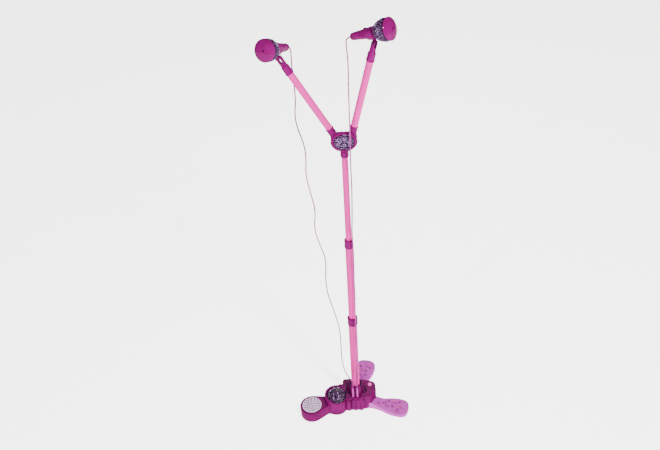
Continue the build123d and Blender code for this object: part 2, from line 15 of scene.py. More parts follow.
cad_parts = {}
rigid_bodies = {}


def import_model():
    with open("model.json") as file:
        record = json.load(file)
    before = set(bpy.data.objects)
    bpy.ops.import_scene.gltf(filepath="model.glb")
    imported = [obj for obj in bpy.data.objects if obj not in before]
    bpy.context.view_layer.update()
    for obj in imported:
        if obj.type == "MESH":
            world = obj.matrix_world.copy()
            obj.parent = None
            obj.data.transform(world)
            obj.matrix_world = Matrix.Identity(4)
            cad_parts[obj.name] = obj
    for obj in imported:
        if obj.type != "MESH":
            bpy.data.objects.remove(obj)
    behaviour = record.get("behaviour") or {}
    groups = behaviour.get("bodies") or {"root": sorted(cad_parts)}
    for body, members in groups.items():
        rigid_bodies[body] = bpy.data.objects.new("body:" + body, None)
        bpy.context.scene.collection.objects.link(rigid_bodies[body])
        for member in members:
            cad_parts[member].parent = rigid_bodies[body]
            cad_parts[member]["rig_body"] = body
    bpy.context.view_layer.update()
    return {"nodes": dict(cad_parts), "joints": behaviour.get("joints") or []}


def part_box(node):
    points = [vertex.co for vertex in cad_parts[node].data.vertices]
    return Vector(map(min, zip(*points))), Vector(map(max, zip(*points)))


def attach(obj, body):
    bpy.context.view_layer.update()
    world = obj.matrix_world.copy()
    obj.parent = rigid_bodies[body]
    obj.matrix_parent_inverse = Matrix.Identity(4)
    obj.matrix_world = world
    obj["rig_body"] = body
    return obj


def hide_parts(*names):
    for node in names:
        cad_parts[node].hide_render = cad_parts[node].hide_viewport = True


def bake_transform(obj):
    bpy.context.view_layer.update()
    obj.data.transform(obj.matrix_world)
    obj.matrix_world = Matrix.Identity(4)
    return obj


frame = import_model()

MM = 0.001
SIDES = ("left", "right")
SIDE_SIGN = {"left": -1, "right": 1}
joints = {joint["name"]: joint for joint in frame["joints"]}

# ---- sizes in millimetres ----

# The grip, the origin of a microphone, as seen from its clip's pin.
GRIP_ABOVE_PIN = 21.5
GRIP_AHEAD = 10.0

# Places along a microphone, from its grip towards its head. The handle's ends are (place, radius).
HANDLE_TAIL = (-70.0, 8.0)
HANDLE_ROOT = (3.0, 14.4)
SWITCH_AT = -30.0
BAND_END = 32.0
RING_END = 35.0
HEAD_POLE = 45.0

RING_R = 24.2
HEAD_R = 25.3
HEAD_CROWN_R = 42.0
CORD_DIAMETER = 3.2

# The housing's top, and the half-round columns down its front as (x, y, width).
BODY_TOP = 56.0
FRONT_COLUMNS = [
    (-25.0, -37.0, 15.0), (-8.5, -36.0, 13.0), (5.0, -36.0, 12.0), (19.0, -36.0, 14.0),
]

# The direction that each paddle foot points in, from the mast.
FOOT_BEARINGS = {"right_foot": math.radians(-16.7), "rear_foot": math.radians(75.0)}

# The speaker grille's slots: rings, the step between rings, and half of each slot's sizes.
SLOT_RINGS = 4
SLOTS_PER_RING = 4
SLOT_RING_STEP = 5.9
SLOT_HALF_LONG = (2.2, 2.9)
SLOT_HALF_WIDE = (1.7, 2.0)
SLOT_SIDES = 12

LAMP_COUNT = 5
LAMP_RING_R = 12.0

# Each cord's route runs from the microphone's tail to the top of its plug.
CORD_ROUTES = {
    "left": [
        (-118.7, 65.7, 1138.6), (-113.5, 78.2, 1134.9),
        (-112.4, 77.4, 1115.0), (-112.9, 67.5, 1088.0),
        (-110.0, 50.0, 1056.0), (-108.5, 36.0, 1020.0),
        (-113.5, 22.0, 982.0), (-106.0, 11.0, 951.0),
        (-95.5, 4.0, 920.0), (-92.8, -0.5, 885.0), (-98.0, -4.5, 842.0), (-89.0, -9.0, 790.0),
        (-79.6, -10.5, 738.0), (-88.0, -10.0, 682.0), (-76.0, -9.5, 630.0), (-62.0, -10.0, 578.0),
        (-68.0, -9.5, 524.0), (-66.5, -10.5, 470.0), (-57.0, -12.0, 425.0), (-46.0, -13.0, 375.0),
        (-38.0, -15.0, 330.0), (-37.0, -19.0, 272.0), (-37.5, -24.0, 218.0), (-33.0, -27.0, 178.0),
        (-21.0, -29.5, 147.0), (-9.0, -30.0, 121.0), (-9.0, -30.0, 96.0),
    ],
    "right": [
        (25.54, 44.4, 1160.9), (14.9, 52.6, 1156.0), (15.6, 49.7, 1136.0), (17.6, 37.0, 1110.0),
        (17.2, 17.0, 1080.0), (15.6, -4.0, 1043.0), (15.2, -20.0, 1000.0), (14.6, -25.5, 950.0),
        (13.8, -24.0, 905.0), (13.2, -18.5, 860.0), (13.8, -15.5, 810.0), (12.8, -13.0, 760.0),
        (11.4, -12.5, 710.0), (9.2, -13.2, 665.0), (10.8, -17.0, 622.0), (10.8, -17.5, 575.0),
        (9.6, -15.5, 520.0), (10.2, -15.8, 465.0), (8.8, -18.5, 412.0), (8.4, -22.5, 362.0),
        (8.0, -23.5, 318.0), (7.0, -23.0, 265.0), (6.6, -26.5, 212.0), (5.8, -29.4, 160.0),
        (4.0, -30.0, 122.0), (4.0, -30.0, 96.0),
    ],
}


# ---- camera, lights and floor, in metres ----

LENS_MM = 36.09
SENSOR_MM = 36.0
EYE_PLACE = (0.0, -1.404, 1.6615)
EYE_TURN_DEG = (55.13, 3.138, -0.2915)

# Each softbox is a name, a place, a size and a power in watts. All face one point.
SOFTBOXES = [
    ("key", (0.9, -1.3, 2.2), 0.25, 86),
    ("fill", (-1.2, -1.5, 2.1), 0.12, 32),
    ("back", (0.4, 2.4, 2.6), 1.4, 40),
]
LIT_POINT = (0.0, 0.0, 0.6)
WORLD_STRENGTH = 0.5
FLOOR_R_MM = 9000


def camera():
    data = bpy.data.cameras.new("camera")
    data.lens = LENS_MM
    data.sensor_width = SENSOR_MM
    eye = bpy.data.objects.new("camera", data)
    eye.location = EYE_PLACE
    eye.rotation_euler = [math.radians(a) for a in EYE_TURN_DEG]
    bpy.context.scene.collection.objects.link(eye)
    bpy.context.scene.camera = eye


def softbox(name, place, size, power):
    """A square area light at a place, turned towards the lit point."""
    data = bpy.data.lights.new(name, "AREA")
    data.shape = "SQUARE"
    data.size = size
    data.energy = power
    lamp = bpy.data.objects.new(name, data)
    lamp.location = place
    lamp.rotation_euler = (Vector(LIT_POINT) - Vector(place)).to_track_quat("-Z", "Y").to_euler()
    bpy.context.scene.collection.objects.link(lamp)


def studio():
    for name, place, size, power in SOFTBOXES:
        softbox(name, place, size, power)
    world = bpy.data.worlds.new("world")
    world.use_nodes = True
    background = world.node_tree.nodes["Background"]
    background.inputs["Color"].default_value = (1, 1, 1, 1)
    background.inputs["Strength"].default_value = WORLD_STRENGTH
    bpy.context.scene.world = world


def floor():
    rim = [(FLOOR_R_MM * math.cos(a), FLOOR_R_MM * math.sin(a), 0) for a in turn_angles(64)]
    disc = solid("floor", rim, [range(64)])
    finish(disc, PAPER)


# ---- mesh making ----


def turn_angles(count):
    return [2 * math.pi * k / count for k in range(count)]


def solid(name, points, faces):
    """A mesh object from points in millimetres and faces as lists of their numbers."""
    mesh = bpy.data.meshes.new(name)
    mesh.from_pydata([tuple(MM * c for c in p) for p in points], [], [list(f) for f in faces])
    mesh.update()
    piece = bpy.data.objects.new(name, mesh)
    bpy.context.scene.collection.objects.link(piece)
    return piece


def tidy(piece):
    """Joins points that meet, turns every face outwards and shades smoothly."""
    work = bmesh.new()
    work.from_mesh(piece.data)
    bmesh.ops.remove_doubles(work, verts=work.verts, dist=1e-6)
    bmesh.ops.recalc_face_normals(work, faces=work.faces)
    work.to_mesh(piece.data)
    work.free()
    piece.data.shade_smooth()
    return piece


def settle(piece):
    """Makes the result of a piece's modifiers its mesh."""
    shown = piece.evaluated_get(bpy.context.evaluated_depsgraph_get())
    mesh = bpy.data.meshes.new_from_object(shown)
    piece.modifiers.clear()
    piece.data = mesh
    piece.data.shade_smooth()
    return piece


def softened_corners(profile, radius, steps=4):
    """A closed profile of (radius, height) corners with every corner off the axis rounded."""
    rounded = []
    count = len(profile)
    for k, here in enumerate(profile):
        before, after = Vector(profile[k - 1]), Vector(profile[(k + 1) % count])
        corner = Vector(here)
        reach = min(radius, 0.45 * (before - corner).length, 0.45 * (after - corner).length)
        if corner.x < 0.01 or reach < 0.01:
            rounded.append(tuple(corner))
            continue
        start = corner + (before - corner).normalized() * reach
        end = corner + (after - corner).normalized() * reach
        for s in range(steps + 1):
            t = s / steps
            rounded.append(tuple((1 - t) ** 2 * start + 2 * t * (1 - t) * corner + t**2 * end))
    return rounded


def spun(name, profile, place=Matrix(), corner=0.5, around=96, wave=None):
    """A solid of revolution about its frame's Z.

    wave(angle, radius, height) may add to the radius.
    """
    line = softened_corners(profile, corner)
    points, rings = [], []
    for radius, height in line:
        if radius < 0.01:
            rings.append([len(points)] * around)
            points.append(place @ Vector((0, 0, height)))
            continue
        rings.append(range(len(points), len(points) + around))
        for angle in turn_angles(around):
            r = radius + (wave(angle, radius, height) if wave else 0)
            points.append(place @ Vector((r * math.cos(angle), r * math.sin(angle), height)))
    faces = []
    for a, b in zip(rings, list(rings[1:]) + [rings[0]]):
        for k in range(around):
            n = (k + 1) % around
            face = list(dict.fromkeys((a[k], a[n], b[n], b[k])))
            if len(face) > 2:
                faces.append(face)
    return tidy(solid(name, points, faces))


def bead(points, normals, width, high, closed=False, taper=0.0, sink=0.35, sides=8):
    """Points and faces of a raised line with a round top. taper narrows its ends."""
    verts, faces = [], []
    count = len(points)
    for k, (p, n) in enumerate(zip(points, normals)):
        ahead = points[(k + 1) % count] if closed or k < count - 1 else p
        behind = points[k - 1] if closed or k > 0 else p
        along = (ahead - behind).normalized()
        across = along.cross(n).normalized()
        share = 1.0
        if taper:
            share = min(1.0, (min(k, count - 1 - k) + 0.35) / (taper * count))
        for s in range(sides):
            angle = 2 * math.pi * s / sides
            rise = math.sin(angle) * (high if math.sin(angle) > 0 else sink)
            reach = 0.5 * width * share * math.cos(angle)
            verts.append(p + across * reach + n * (rise * (0.5 + 0.5 * share)))
    loops = count if closed else count - 1
    for k in range(loops):
        for s in range(sides):
            a, b = k * sides, ((k + 1) % count) * sides
            n = (s + 1) % sides
            faces.append((a + s, a + n, b + n, b + s))
    if not closed:
        faces.append(tuple(range(sides)))
        faces.append(tuple((count - 1) * sides + s for s in range(sides)))
    return verts, faces


def joined_beads(name, beads):
    """One object from several raised lines."""
    verts, faces = [], []
    for more_verts, more_faces in beads:
        start = len(verts)
        verts += more_verts
        faces += [[start + i for i in face] for face in more_faces]
    return tidy(solid(name, verts, faces))


def scroll(at, size, turns, facing, hand, steps=26):
    """A flat curl: a spiral that opens out into a tail. Points are (x, y)."""
    points = []
    for k in range(steps + 1):
        t = k / steps
        angle = facing + hand * 2 * math.pi * turns * t
        radius = size * (0.16 + 0.84 * t**1.25)
        points.append((at[0] + radius * math.cos(angle), at[1] + radius * math.sin(angle)))
    return points


def leaf(at, long, wide, facing, steps=10):
    """A closed pointed oval. Points are (x, y)."""
    c, s = math.cos(facing), math.sin(facing)
    points = []
    for side in (1, -1):
        for k in range(steps):
            t = k / steps if side > 0 else 1 - k / steps
            u, v = long * t, side * 0.5 * wide * math.sin(math.pi * t)
            points.append((at[0] + u * c - v * s, at[1] + u * s + v * c))
    return points


def moulded(node, material, voxel, rounds=3, keep=0.4):
    """A copy of a CAD node with its edges rounded off.

    voxel is the remesh's step in millimetres, and keep is the share of faces that stay.
    """
    source = frame["nodes"][node]
    piece = bpy.data.objects.new(f"{node}_moulded", source.data.copy())
    bpy.context.scene.collection.objects.link(piece)
    tidy(piece)
    remesh = piece.modifiers.new("remesh", "REMESH")
    remesh.mode = "VOXEL"
    remesh.voxel_size = voxel * MM
    smooth = piece.modifiers.new("smooth", "SMOOTH")
    smooth.factor = 0.5
    smooth.iterations = rounds
    thin = piece.modifiers.new("thin", "DECIMATE")
    thin.ratio = keep
    settle(piece)
    return dressed(piece, material, source["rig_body"], node)


# ---- materials ----


def rgb(code):
    """A linear colour from a hex code."""
    parts = [int(code[i:i + 2], 16) / 255 for i in (0, 2, 4)]
    linear = [c / 12.92 if c <= 0.04045 else ((c + 0.055) / 1.055) ** 2.4 for c in parts]
    return (*linear, 1.0)


class Nodes:
    """A material's node tree, with short ways to add to it."""

    def __init__(self, name):
        self.material = bpy.data.materials.new(name)
        self.material.use_nodes = True
        self.tree = self.material.node_tree
        self.shader = self.tree.nodes["Principled BSDF"]
        self.place = self.tree.nodes.new("ShaderNodeTexCoord").outputs["Object"]

    def add(self, kind, settings=(), **inputs):
        node = self.tree.nodes.new(f"ShaderNode{kind}")
        for key, value in dict(settings).items():
            setattr(node, key, value)
        for key, value in inputs.items():
            self.link(value, node.inputs[key.replace("_", " ")])
        return node

    def link(self, value, socket):
        if isinstance(value, bpy.types.NodeSocket):
            self.tree.links.new(value, socket)
        else:
            socket.default_value = value

    def set(self, **values):
        for key, value in values.items():
            self.link(value, self.shader.inputs[key.replace("_", " ")])

    def noise(self, scale, detail=3.0, distortion=0.0, place=None):
        return self.add("TexNoise", Scale=scale, Detail=detail, Distortion=distortion,
                        Vector=place or self.place).outputs["Fac"]

    def ramp(self, fac, *stops):
        ramp = self.add("ValToRGB", Fac=fac)
        elements = ramp.color_ramp.elements
        while len(elements) < len(stops):
            elements.new(0.5)
        for element, (place, colour) in zip(elements, stops):
            element.position = place
            element.color = colour
        return ramp.outputs["Color"]

    def between(self, value, low, high):
        """A value from 0 to 1 stretched to run from low to high."""
        return self.add("MapRange", Value=value, To_Min=low, To_Max=high).outputs["Result"]

    def bump(self, height, strength, distance):
        node = self.add("Bump", Height=height, Strength=strength, Distance=distance)
        self.link(node.outputs["Normal"], self.shader.inputs["Normal"])


def plastic(name, dark, light, rough, coat=0.06, grain=0.12, patches=22.0, metallic=0.0):
    """Moulded plastic: cloudy colour, uneven gloss and a fine skin."""
    n = Nodes(name)
    cloud = n.noise(patches, 4.0, 0.6)
    n.set(Base_Color=n.ramp(cloud, (0.3, rgb(dark)), (0.7, rgb(light))))
    n.set(Roughness=n.between(n.noise(85.0, 5.0), *rough), Metallic=metallic)
    n.set(Coat_Weight=coat, Coat_Roughness=0.1, Specular_IOR_Level=0.0)
    n.bump(n.noise(1600.0, 2.0), grain, 0.0002)
    return n.material


def mic_shell():
    """Glossy magenta with a faint grid of dimples."""
    n = Nodes("mic_shell")
    cloud = n.noise(30.0, 4.0, 0.8)
    n.set(Base_Color=n.ramp(cloud, (0.3, rgb("55033f")), (0.7, rgb("670550"))))
    n.set(Roughness=n.between(n.noise(120.0, 4.0), 0.12, 0.22))
    n.set(Coat_Weight=0.12, Coat_Roughness=0.05, Specular_IOR_Level=0.0)
    cells = n.add("TexVoronoi", (("feature", "F1"),), Scale=520.0, Randomness=0.15, Vector=n.place)
    n.bump(cells.outputs["Distance"], 0.3, 0.0004)
    return n.material


def swirled(name, scale):
    """Dark violet with marbled silver and lilac curls, like foil under lacquer."""
    n = Nodes(name)
    warp = n.noise(scale * 0.55, 2.0, 1.5)
    spread = n.add("TexWave", (("wave_type", "RINGS"), ("rings_direction", "SPHERICAL")),
                   Scale=scale, Distortion=9.0, Detail=2.0, Detail_Scale=1.4, Vector=n.place)
    foil = n.ramp(spread.outputs["Fac"], (0.6, rgb("1d0a1f")), (0.82, rgb("2f1430")),
                  (0.93, rgb("55385d")), (0.99, rgb("90769e")))
    tint = n.ramp(warp, (0.48, rgb("1f0d22")), (0.72, rgb("4b2748")))
    blend = n.add("Mix", (("data_type", "RGBA"),))
    n.link(0.35, blend.inputs["Factor"])
    n.link(foil, blend.inputs[6])
    n.link(tint, blend.inputs[7])
    n.set(Base_Color=blend.outputs[2], Specular_IOR_Level=0.0)
    n.set(Roughness=n.between(spread.outputs["Fac"], 0.42, 0.2))
    n.set(Coat_Weight=0.04, Coat_Roughness=0.08)
    n.bump(spread.outputs["Fac"], 0.2, 0.0004)
    return n.material


def clear_plastic():
    n = Nodes("clear_dome")
    n.set(Base_Color=n.ramp(n.noise(40.0, 3.0), (0.3, rgb("b488bc")), (0.7, rgb("cda6d4"))))
    n.set(Roughness=n.between(n.noise(220.0, 3.0), 0.03, 0.09))
    n.set(Transmission_Weight=0.94, IOR=1.2, Specular_IOR_Level=0.3)
    return n.material


def white_paper():
    n = Nodes("paper")
    n.set(Base_Color=n.ramp(n.noise(3.0), (0.3, rgb("f2f1f3")), (0.7, rgb("f6f5f7"))))
    n.set(Roughness=n.between(n.noise(9.0), 0.85, 0.95), Specular_IOR_Level=0.0)
    n.set(Emission_Color=rgb("ffffff"), Emission_Strength=3.6)
    return n.material


def lamp_plastic():
    n = Nodes("lamp")
    n.set(Base_Color=n.ramp(n.noise(400.0, 2.0), (0.3, rgb("f2e7f5")), (0.7, rgb("ffffff"))))
    n.set(Roughness=n.between(n.noise(900.0, 2.0), 0.05, 0.15), Transmission_Weight=0.35)
    n.set(Emission_Color=rgb("ffeaff"), Emission_Strength=0.5)
    return n.material


def circuit_green():
    n = Nodes("board_green")
    traces = n.add("TexBrick", Scale=240.0, Mortar_Size=0.03, Vector=n.place)
    n.link(rgb("1f6b3d"), traces.inputs["Color1"])
    n.link(rgb("247646"), traces.inputs["Color2"])
    n.link(rgb("4c9a5a"), traces.inputs["Mortar"])
    n.set(Base_Color=traces.outputs["Color"], Roughness=n.between(n.noise(300.0), 0.3, 0.5))
    return n.material


def drawn_metal(name, dark, light):
    n = Nodes(name)
    n.set(Base_Color=n.ramp(n.noise(300.0, 4.0), (0.3, rgb(dark)), (0.7, rgb(light))))
    n.set(Metallic=1.0, Roughness=n.between(n.noise(700.0, 4.0), 0.22, 0.42))
    n.bump(n.noise(2400.0), 0.1, 0.0001)
    return n.material


def cord_vinyl():
    """Soft vinyl that is pinker and greyer by turns along its length."""
    n = Nodes("cord_vinyl")
    n.set(Base_Color=n.ramp(n.noise(9.0, 3.0, 0.5), (0.32, rgb("652159")), (0.5, rgb("863076")),
                            (0.7, rgb("ad4595"))))
    n.set(Roughness=n.between(n.noise(260.0, 3.0), 0.38, 0.55), Specular_IOR_Level=0.0)
    n.set(Coat_Weight=0.03)
    n.bump(n.noise(1900.0), 0.12, 0.0002)
    return n.material


MAGENTA = plastic("magenta_shell", "55033f", "6c0655", (0.24, 0.4), coat=0.08)
TUBE = plastic("pink_tube", "b5247c", "c82b8b", (0.28, 0.42), patches=9.0)
LILAC = plastic("lilac_foot", "9e3791", "b544aa", (0.34, 0.5), patches=30.0)
LILAC_RELIEF = plastic("lilac_relief", "550d4b", "651459", (0.3, 0.45), patches=60.0)
LILAC_DOT = plastic("lilac_dot", "c43f8b", "dd599e", (0.3, 0.45), patches=60.0)
BODY = plastic("magenta_body", "52033d", "6a0653", (0.28, 0.42))
VIOLET = plastic("dark_violet", "190a1d", "2b142f", (0.2, 0.34))
SILVER = plastic("silver_foil", "694d73", "997ca8", (0.16, 0.32), coat=0.05, metallic=0.15,
                 patches=160.0)
GRILLE = plastic("grille_white", "bca2c0", "ceb5d7", (0.4, 0.55), coat=0.1)
ROSE = plastic("rose_button", "da50ad", "f16fc8", (0.2, 0.32))
BLACK = plastic("black_plastic", "241a28", "38293c", (0.4, 0.6), coat=0.1)
CONE = plastic("paper_cone", "2b2530", "3c3440", (0.7, 0.9), coat=0.0, patches=90.0, grain=0.4)
CELL = plastic("cell", "6d4a7a", "8a6496", (0.2, 0.35), coat=0.5, metallic=0.2, patches=14.0)
PLUG = plastic("plug_pink", "952781", "ad3597", (0.28, 0.42))
PAPER = white_paper()
MIC = mic_shell()
PLATE = swirled("swirl_plate", 62.0)
BAND = swirled("swirl_band", 85.0)
CLEAR = clear_plastic()
LAMP = lamp_plastic()
BOARD = circuit_green()
METAL = drawn_metal("metal", "8f8f94", "c4c4ca")
DARK_METAL = drawn_metal("dark_metal", "2a1c2c", "463046")
CORD = cord_vinyl()


def finish(piece, material):
    piece.data.materials.clear()
    piece.data.materials.append(material)
    return piece


def dressed(piece, material, body, *nodes):
    """Gives a piece its material, body and the CAD nodes that it stands for."""
    finish(piece, material)
    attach(piece, body)
    if nodes:
        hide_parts(*nodes)
    return piece


# ---- cords ----


def route_line(points):
    """The points, in millimetres, of the smooth line that a route's control points draw."""
    curve = bpy.data.curves.new("route", "CURVE")
    curve.dimensions = "3D"
    curve.resolution_u = 12
    spline = curve.splines.new("NURBS")
    spline.points.add(len(points) - 1)
    for control, point in zip(spline.points, points):
        control.co = (*[MM * c for c in point], 1)
    spline.order_u = 3
    spline.use_endpoint_u = True
    holder = bpy.data.objects.new("route", curve)
    bpy.context.scene.collection.objects.link(holder)
    bpy.context.view_layer.update()
    mesh = bpy.data.meshes.new_from_object(holder)
    line = [v.co / MM for v in mesh.vertices]
    bpy.data.objects.remove(holder)
    return line


def stretch(line, high, low):
    """The part of a falling line between two heights."""
    def crossing(height):
        for a, b in zip(line, line[1:]):
            if a.z > height >= b.z:
                return a.lerp(b, (a.z - height) / (a.z - b.z))
        return line[-1] if height < line[-1].z else line[0]

    inner = [p for p in line if low + 0.5 < p.z < high - 0.5]
    return [crossing(high), *inner, crossing(low)]


def tube(name, path, diameter, sides=14):
    """A round tube along a path, closed at both ends."""
    side = Vector((1, 0, 0))
    points, faces = [], []
    for k, p in enumerate(path):
        along = (path[min(k + 1, len(path) - 1)] - path[max(k - 1, 0)]).normalized()
        side = (side - along * side.dot(along)).normalized()
        other = along.cross(side)
        for angle in turn_angles(sides):
            points.append(p + (side * math.cos(angle) + other * math.sin(angle)) * diameter / 2)
    for k in range(len(path) - 1):
        for s in range(sides):
            n = (s + 1) % sides
            a, b = k * sides, (k + 1) * sides
            faces.append((a + s, a + n, b + n, b + s))
    faces += [range(sides), range((len(path) - 1) * sides, len(path) * sides)]
    return tidy(solid(name, points, faces))


# Where each stretch of cord ends, where it bends from one body to the next, and those bodies.
CORD_STRETCHES = [
    ("tail", 1100.0, (1138.0, 1102.0), ("{side}_mic", "{side}_cradle")),
    ("clip", 1056.0, (1099.0, 1057.0), ("{side}_cradle", "{side}_clip")),
    ("arm", 1000.0, (1055.0, 1001.0), ("{side}_clip", "{side}_arm")),
    ("hub", 884.0, (999.0, 886.0), ("{side}_arm", "upper_mast")),
    ("upper", 510.0, (883.0, 511.0), ("upper_mast", "middle_mast")),
    ("lower", 145.0, (509.0, 146.0), ("middle_mast", "base")),
    ("end", 96.0, (143.0, 100.0), ("base", "{side}_plug")),
]


def cords():
    for side in SIDES:
        line = route_line(CORD_ROUTES[side])
        high = line[0].z + 1
        for part, low, (bend_from, bend_to), bodies in CORD_STRETCHES:
            path = stretch(line, high, low)
            piece = finish(tube(f"{side}_cord_{part}", path, CORD_DIAMETER), CORD)
            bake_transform(piece)
            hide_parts(f"{side}_cord")
            length = sum((b - a).length for a, b in zip(path, path[1:]))
            high = low


def plug(side):
    """A jack plug's sleeve with a ribbed grip, its pin and the narrow end that takes the cord."""
    low, high = [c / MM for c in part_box(f"{side}_plug")]
    at = Matrix.Translation(((low.x + high.x) / 2, (low.y + high.y) / 2, 0))
    seat = BODY_TOP + 0.3
    profile = [(0, low.z), (1.0, low.z), (1.75, low.z + 2), (1.75, seat), (3.25, seat),
               (3.25, seat + 21), (2.7, seat + 32), (2.0, high.z), (0, high.z)]

    def ribs(angle, radius, height):
        grip = 3.0 < radius and seat + 4 < height < seat + 18
        return 0.12 * math.cos(9 * angle) if grip else 0.0

    body = spun(f"{side}_plug_sleeve", profile, at, corner=0.5, around=54, wave=ribs)
    return dressed(body, PLUG, f"{side}_plug", f"{side}_plug")


# ---- draping lines over a CAD node ----


def surface_of(node):
    """A function that gives the top of a CAD node over a point, and its normal there."""
    source = frame["nodes"][node].data
    tree = BVHTree.FromPolygons([v.co / MM for v in source.vertices],
                                [p.vertices for p in source.polygons])

    def top(x, y):
        hit, normal, _, _ = tree.ray_cast(Vector((x, y, 400)), Vector((0, 0, -1)))
        if hit is None:
            return None
        return hit, normal if normal.z > 0 else -normal

    return top


def draped(top, flat, width, high, closed=False, taper=0.0):
    """A raised line that follows flat (x, y) points over a surface.

    It is None where a point is off the surface.
    """
    hits = [top(x, y) for x, y in flat]
    if None in hits:
        return None
    count = len(hits)
    normals = []
    for k in range(count):
        near = [k + d for d in (-2, -1, 0, 1, 2)]
        near = [j % count if closed else min(max(j, 0), count - 1) for j in near]
        normals.append(sum((hits[j][1] for j in near), Vector()).normalized())
    return bead([hit for hit, _ in hits], normals, width, high, closed, taper)


# ---- base ----


def teardrop(wide_at, wide_r, narrow_at, narrow_r, step=0.8):
    """Evenly spaced points of the closed line round two discs."""
    corners = []
    for a in turn_angles(90):
        away = Vector((math.cos(a), math.sin(a)))
        discs = [(Vector(wide_at), wide_r), (Vector(narrow_at), narrow_r)]
        centre, radius = max(discs, key=lambda disc: disc[0].dot(away) + disc[1])
        corners.append(centre + radius * away)
    points = []
    for here, ahead in zip(corners, corners[1:] + corners[:1]):
        parts = max(1, round((ahead - here).length / step))
        points += [tuple(here.lerp(ahead, k / parts)) for k in range(parts)]
    return points


def base_wings():
    """The dark outlines beside the mast, each round a fan of raised pleats."""
    top = surface_of("base_top_shell")
    for side in SIDES:
        sign = SIDE_SIGN[side]
        outline = teardrop((sign * 24, -7), 7.8, (sign * 17, 22), 2.8)
        line = draped(top, outline, 4.6, 1.2, closed=True)
        dressed(joined_beads(f"{side}_wing_line", [line]), VIOLET, "base", f"{side}_wing_trim")
        pleats = []
        for k in range(4):
            x0, y0 = sign * (19.5 + 3.4 * k), -10.5 + abs(k - 1.5)
            x1, y1 = sign * (17.2 + 1.1 * k), 16.0 - 3 * abs(k - 1)
            flat = [(x0 + (x1 - x0) * t / 24, y0 + (y1 - y0) * t / 24) for t in range(25)]
            pleats.append(draped(top, flat, 2.6, 0.9, taper=0.3))
        dressed(joined_beads(f"{side}_wing_pleats", [p for p in pleats if p]), BODY, "base")


def front_columns():
    columns = []
    for x, y, wide in FRONT_COLUMNS:
        points = [Vector((x, y, 5 + (BODY_TOP - 8) * k / 16)) for k in range(17)]
        columns.append(bead(points, [Vector((0, -1, 0))] * 17, wide, 4.6, taper=0.13))
    dressed(joined_beads("base_front_columns", columns), BODY, "base")


def slot_punch(middle, bottom, top):
    """Oval rods, scattered in rings, that the grille's slots are cut with."""
    random.seed(4)
    points, faces = [], []
    for ring in range(1, SLOT_RINGS + 1):
        for k in range(SLOTS_PER_RING * ring):
            angle = 2 * math.pi * (k + 0.3 * random.random()) / (SLOTS_PER_RING * ring)
            reach = ring * SLOT_RING_STEP + 0.5 * random.random()
            centre = middle + Vector((reach * math.cos(angle), reach * math.sin(angle), 0))
            lean = angle + random.choice((0.0, 0.6, 1.5))
            long, wide = random.uniform(*SLOT_HALF_LONG), random.uniform(*SLOT_HALF_WIDE)
            start = len(points)
            for z in (bottom, top):
                for a in turn_angles(SLOT_SIDES):
                    u, v = long * math.cos(a), wide * math.sin(a)
                    points.append(centre + Vector((u * math.cos(lean) - v * math.sin(lean),
                                                   u * math.sin(lean) + v * math.cos(lean), z)))
            end = start + SLOT_SIDES
            for s in range(SLOT_SIDES):
                n = (s + 1) % SLOT_SIDES
                faces.append((start + s, start + n, end + n, end + s))
            faces.append(range(start, end))
            faces.append(range(end, end + SLOT_SIDES))
    return tidy(solid("punch", points, faces))


def grille():
    """A domed disc pierced by small slots, over a black sheet that paints the shade inside the
    base.
    """
    low, high = [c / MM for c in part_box("speaker_grille")]
    middle = Vector(((low.x + high.x) / 2, (low.y + high.y) / 2, 0))
    radius = (high.x - low.x) / 2
    at = Matrix.Translation(middle)
    knee = radius * 0.55
    face = [(0, high.z - 0.7), (knee, high.z - 1.2), (radius - 2.4, low.z + 2.2),
            (radius - 2.4, low.z), (radius, low.z), (radius, low.z + 1.6),
            (radius - 2.2, low.z + 3.0), (knee, high.z - 0.5), (0, high.z)]
    # A thin black sheet just under the grille is painted shade, so the slots read dark.
    shade_sheet_profile = [(0, high.z - 1.4), (knee, high.z - 1.9), (radius - 2.4, low.z + 1.5),
              (radius - 2.4, low.z + 2.15), (knee, high.z - 1.25), (0, high.z - 0.75)]
    dressed(spun("grille_shade_sheet", shade_sheet_profile, at, corner=0.1, around=64), BLACK, "base")
    disc = spun("grille_disc", face, at, corner=0.7, around=96)
    punch = slot_punch(middle, low.z - 2, high.z + 2)
    cut = disc.modifiers.new("holes", "BOOLEAN")
    cut.object = punch
    cut.solver = "EXACT"
    cut.use_self = True
    settle(disc)
    bpy.data.objects.remove(punch)
    angled(disc, 40)
    dressed(disc, GRILLE, "base", "speaker_grille")


def angled(piece, degrees):
    """Smooth shading that keeps edges sharper than an angle."""
    piece.data.shade_smooth()
    piece.data.set_sharp_from_angle(angle=math.radians(degrees))


